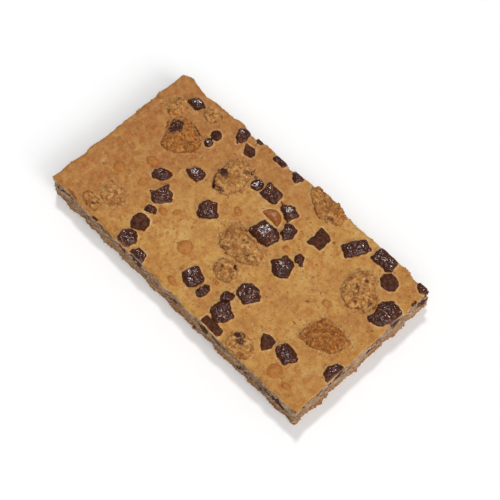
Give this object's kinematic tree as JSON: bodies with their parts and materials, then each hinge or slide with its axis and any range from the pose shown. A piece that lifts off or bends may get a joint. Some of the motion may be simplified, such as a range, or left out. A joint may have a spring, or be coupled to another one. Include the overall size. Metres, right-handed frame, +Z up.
{
  "type": "granola bar",
  "caption": "Flat baked snack bar: golden dough slab set with dark chocolate chunks and crumbly cookie pieces, cut square, with ragged layered sides.",
  "frame": {"origin": "middle of the flat underside, where the bar rests on its surface", "axes": "+X along the bar's length, +Y across its width towards the rim with the notches, +Z up through the top"},
  "size_m": [0.1014, 0.0541, 0.0101],
  "materials": {
    "dough": "baked dough, golden tan, slightly glossy top and grey-brown fibrous cut sides",
    "chocolate": "dark chocolate, glossy with reddish-brown rims",
    "dull_chocolate": "dark chocolate with a dry brown surface",
    "cookie": "crumbly sandy-brown cookie with darker specks",
    "caramel": "smooth orange-brown caramel"
  },
  "bodies": {
    "root": {"dough": "dough", "chunk_01": "chocolate", "chunk_02": "chocolate", "chunk_03": "dull_chocolate", "chunk_04": "chocolate", "chunk_05": "dull_chocolate", "chunk_06": "chocolate", "chunk_07": "chocolate", "chunk_08": "chocolate", "chunk_09": "chocolate", "chunk_10": "dull_chocolate", "chunk_11": "chocolate", "chunk_12": "chocolate", "chunk_13": "chocolate", "chunk_14": "chocolate", "chunk_15": "chocolate", "chunk_16": "chocolate", "chunk_17": "chocolate", "chunk_18": "chocolate", "chunk_19": "chocolate", "chunk_20": "chocolate", "chunk_21": "chocolate", "chunk_22": "chocolate", "chunk_23": "chocolate", "chunk_24": "chocolate", "chunk_25": "chocolate", "chunk_26": "chocolate", "chunk_27": "chocolate", "chunk_28": "chocolate", "chunk_29": "dull_chocolate", "chunk_30": "dull_chocolate", "chunk_31": "chocolate", "chunk_32": "chocolate", "chunk_33": "dull_chocolate", "chunk_34": "chocolate", "chunk_35": "chocolate", "chunk_36": "chocolate", "chunk_37": "dull_chocolate", "chunk_38": "chocolate", "cookie_01": "cookie", "cookie_02": "cookie", "cookie_03": "cookie", "cookie_04": "cookie", "cookie_05": "cookie", "cookie_06": "cookie", "cookie_07": "cookie", "cookie_08": "cookie", "cookie_09": "cookie", "cookie_10": "cookie", "cookie_11": "cookie", "cookie_12": "cookie", "caramel_chip": "caramel", "side_chip_01": "chocolate", "side_chip_02": "chocolate", "side_chip_03": "chocolate", "side_chip_04": "chocolate", "side_chip_05": "chocolate", "side_chip_06": "chocolate"}
  },
  "joints": []
}
